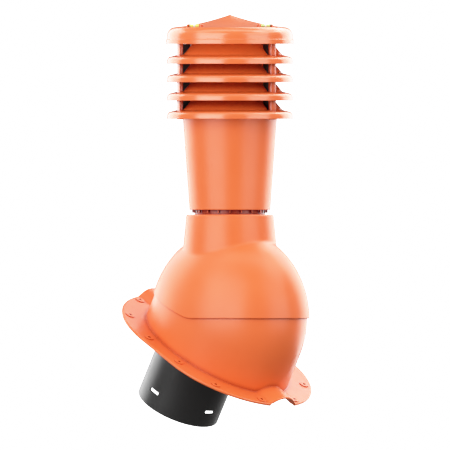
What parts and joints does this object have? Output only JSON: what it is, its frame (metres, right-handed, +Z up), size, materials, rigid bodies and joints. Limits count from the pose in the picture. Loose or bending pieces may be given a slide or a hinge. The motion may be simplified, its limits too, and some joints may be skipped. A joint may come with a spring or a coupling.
{
  "type": "roof vent pipe",
  "caption": "Adjustable roof vent pipe: oblong flange with a swivelling dome, tapered riser and louvred rain cap with small levels, over a round duct pipe square to the roof.",
  "frame": {"origin": "centre of the flange's underside, over the opening in the roof", "axes": "+X down the roof's fall line, level; +Y across the roof; +Z straight up along the riser"},
  "size_m": [0.3571, 0.301, 0.7264],
  "materials": {
    "terracotta": "satin",
    "black_plastic": "satin",
    "level_vial": "clear"
  },
  "bodies": {
    "roof_base": {"base": "terracotta", "duct_pipe": "black_plastic"},
    "upright": {"dome_cover": "terracotta", "riser_pipe": "terracotta", "louvre_ring_1": "terracotta", "louvre_ring_2": "terracotta", "louvre_ring_3": "terracotta", "louvre_ring_4": "terracotta", "cap": "terracotta", "level_vial_1": "level_vial", "level_vial_2": "level_vial"}
  },
  "joints": [
    {"name": "slope_tilt", "type": "hinge", "parent": "roof_base", "child": "upright", "pos_m": [0.0343, 0, 0.05941], "axis": [0, 1, 0], "range_deg": [0, 25]}
  ]
}
